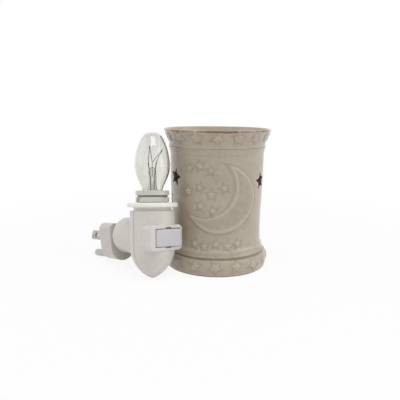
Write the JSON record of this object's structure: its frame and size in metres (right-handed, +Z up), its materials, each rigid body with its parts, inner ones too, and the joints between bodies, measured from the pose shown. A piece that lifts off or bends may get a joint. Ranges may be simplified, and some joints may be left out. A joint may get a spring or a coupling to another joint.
{
  "type": "wax melt warmer",
  "caption": "Waisted glazed ceramic shade with star vents and lift-off wax dish, beside its plug-in lamp unit with clear bulb, rocker switch and swivel plug.",
  "frame": {"origin": "centre of the shade's foot, where the lamp hole's axis meets the surface it stands on", "axes": "+Z up along the shade's axis, -Y towards the shade's front with the crescent, lamp unit at -X -Y"},
  "size_m": [0.1254, 0.0879, 0.0933],
  "materials": {
    "ceramic": "glossy warm greige glaze",
    "white_plastic": "smooth moulded",
    "switch_white": "smooth moulded",
    "grey_plastic": "moulded",
    "soft_ring": "translucent soft",
    "clear_glass": "clear blown",
    "steel": "plain",
    "brass": "plain",
    "nickel": "nickel plated",
    "dark_glass": "fused",
    "solder": "soldered",
    "tungsten": "drawn wire",
    "wire_white": "insulated",
    "wire_black": "insulated"
  },
  "bodies": {
    "shade": {"shade_body": "ceramic"},
    "dish": {"wax_dish": "ceramic"},
    "lamp_unit": {"front_housing": "white_plastic", "rear_housing": "white_plastic", "housing_screws": "steel", "lampholder": "white_plastic", "seat_ring": "soft_ring", "screw_shell_contact": "brass", "centre_contact": "brass", "switch_case": "white_plastic", "switch_terminals": "brass", "brush_holder": "white_plastic", "brush_line": "brass", "brush_neutral": "brass", "line_wire": "wire_black", "switched_wire": "wire_black", "neutral_wire": "wire_white"},
    "rocker": {"rocker": "switch_white"},
    "swivel_plug": {"plug_body": "white_plastic", "swivel_retainer": "steel", "slip_ring_line": "brass", "slip_ring_neutral": "brass", "line_blade": "nickel", "neutral_blade": "nickel", "ground_pin": "grey_plastic"},
    "bulb": {"bulb_glass": "clear_glass", "bulb_cap": "nickel", "bulb_insulator": "dark_glass", "bulb_tip_contact": "solder", "bulb_stem": "clear_glass", "lead_wires": "tungsten", "filament_support": "tungsten", "filament": "tungsten"}
  },
  "joints": [
    {"name": "dish_lift", "type": "slide", "parent": "shade", "child": "dish", "axis": [0, 0, 1], "range_m": [0, 0.03]},
    {"name": "lamp_unit_lift", "type": "slide", "parent": "shade", "child": "lamp_unit", "axis": [-0.4434, -0.4042, 0.8], "range_m": [0, 0.1]},
    {"name": "bulb_out", "type": "slide", "parent": "lamp_unit", "child": "bulb", "axis": [-0.0218, 0.1873, 0.9821], "range_m": [0, 0.0076]},
    {"name": "rocker_tilt", "type": "hinge", "parent": "lamp_unit", "child": "rocker", "pos_m": [-0.03089, -0.0397, 0.02749], "axis": [-0.0218, 0.1873, 0.9821], "range_deg": [0, 16]},
    {"name": "plug_swivel", "type": "hinge", "parent": "lamp_unit", "child": "swivel_plug", "pos_m": [-0.06161, -0.01018, 0.02087], "axis": [-0.6945, 0.7038, -0.1497], "range_deg": [-101.6, 78.4]}
  ]
}
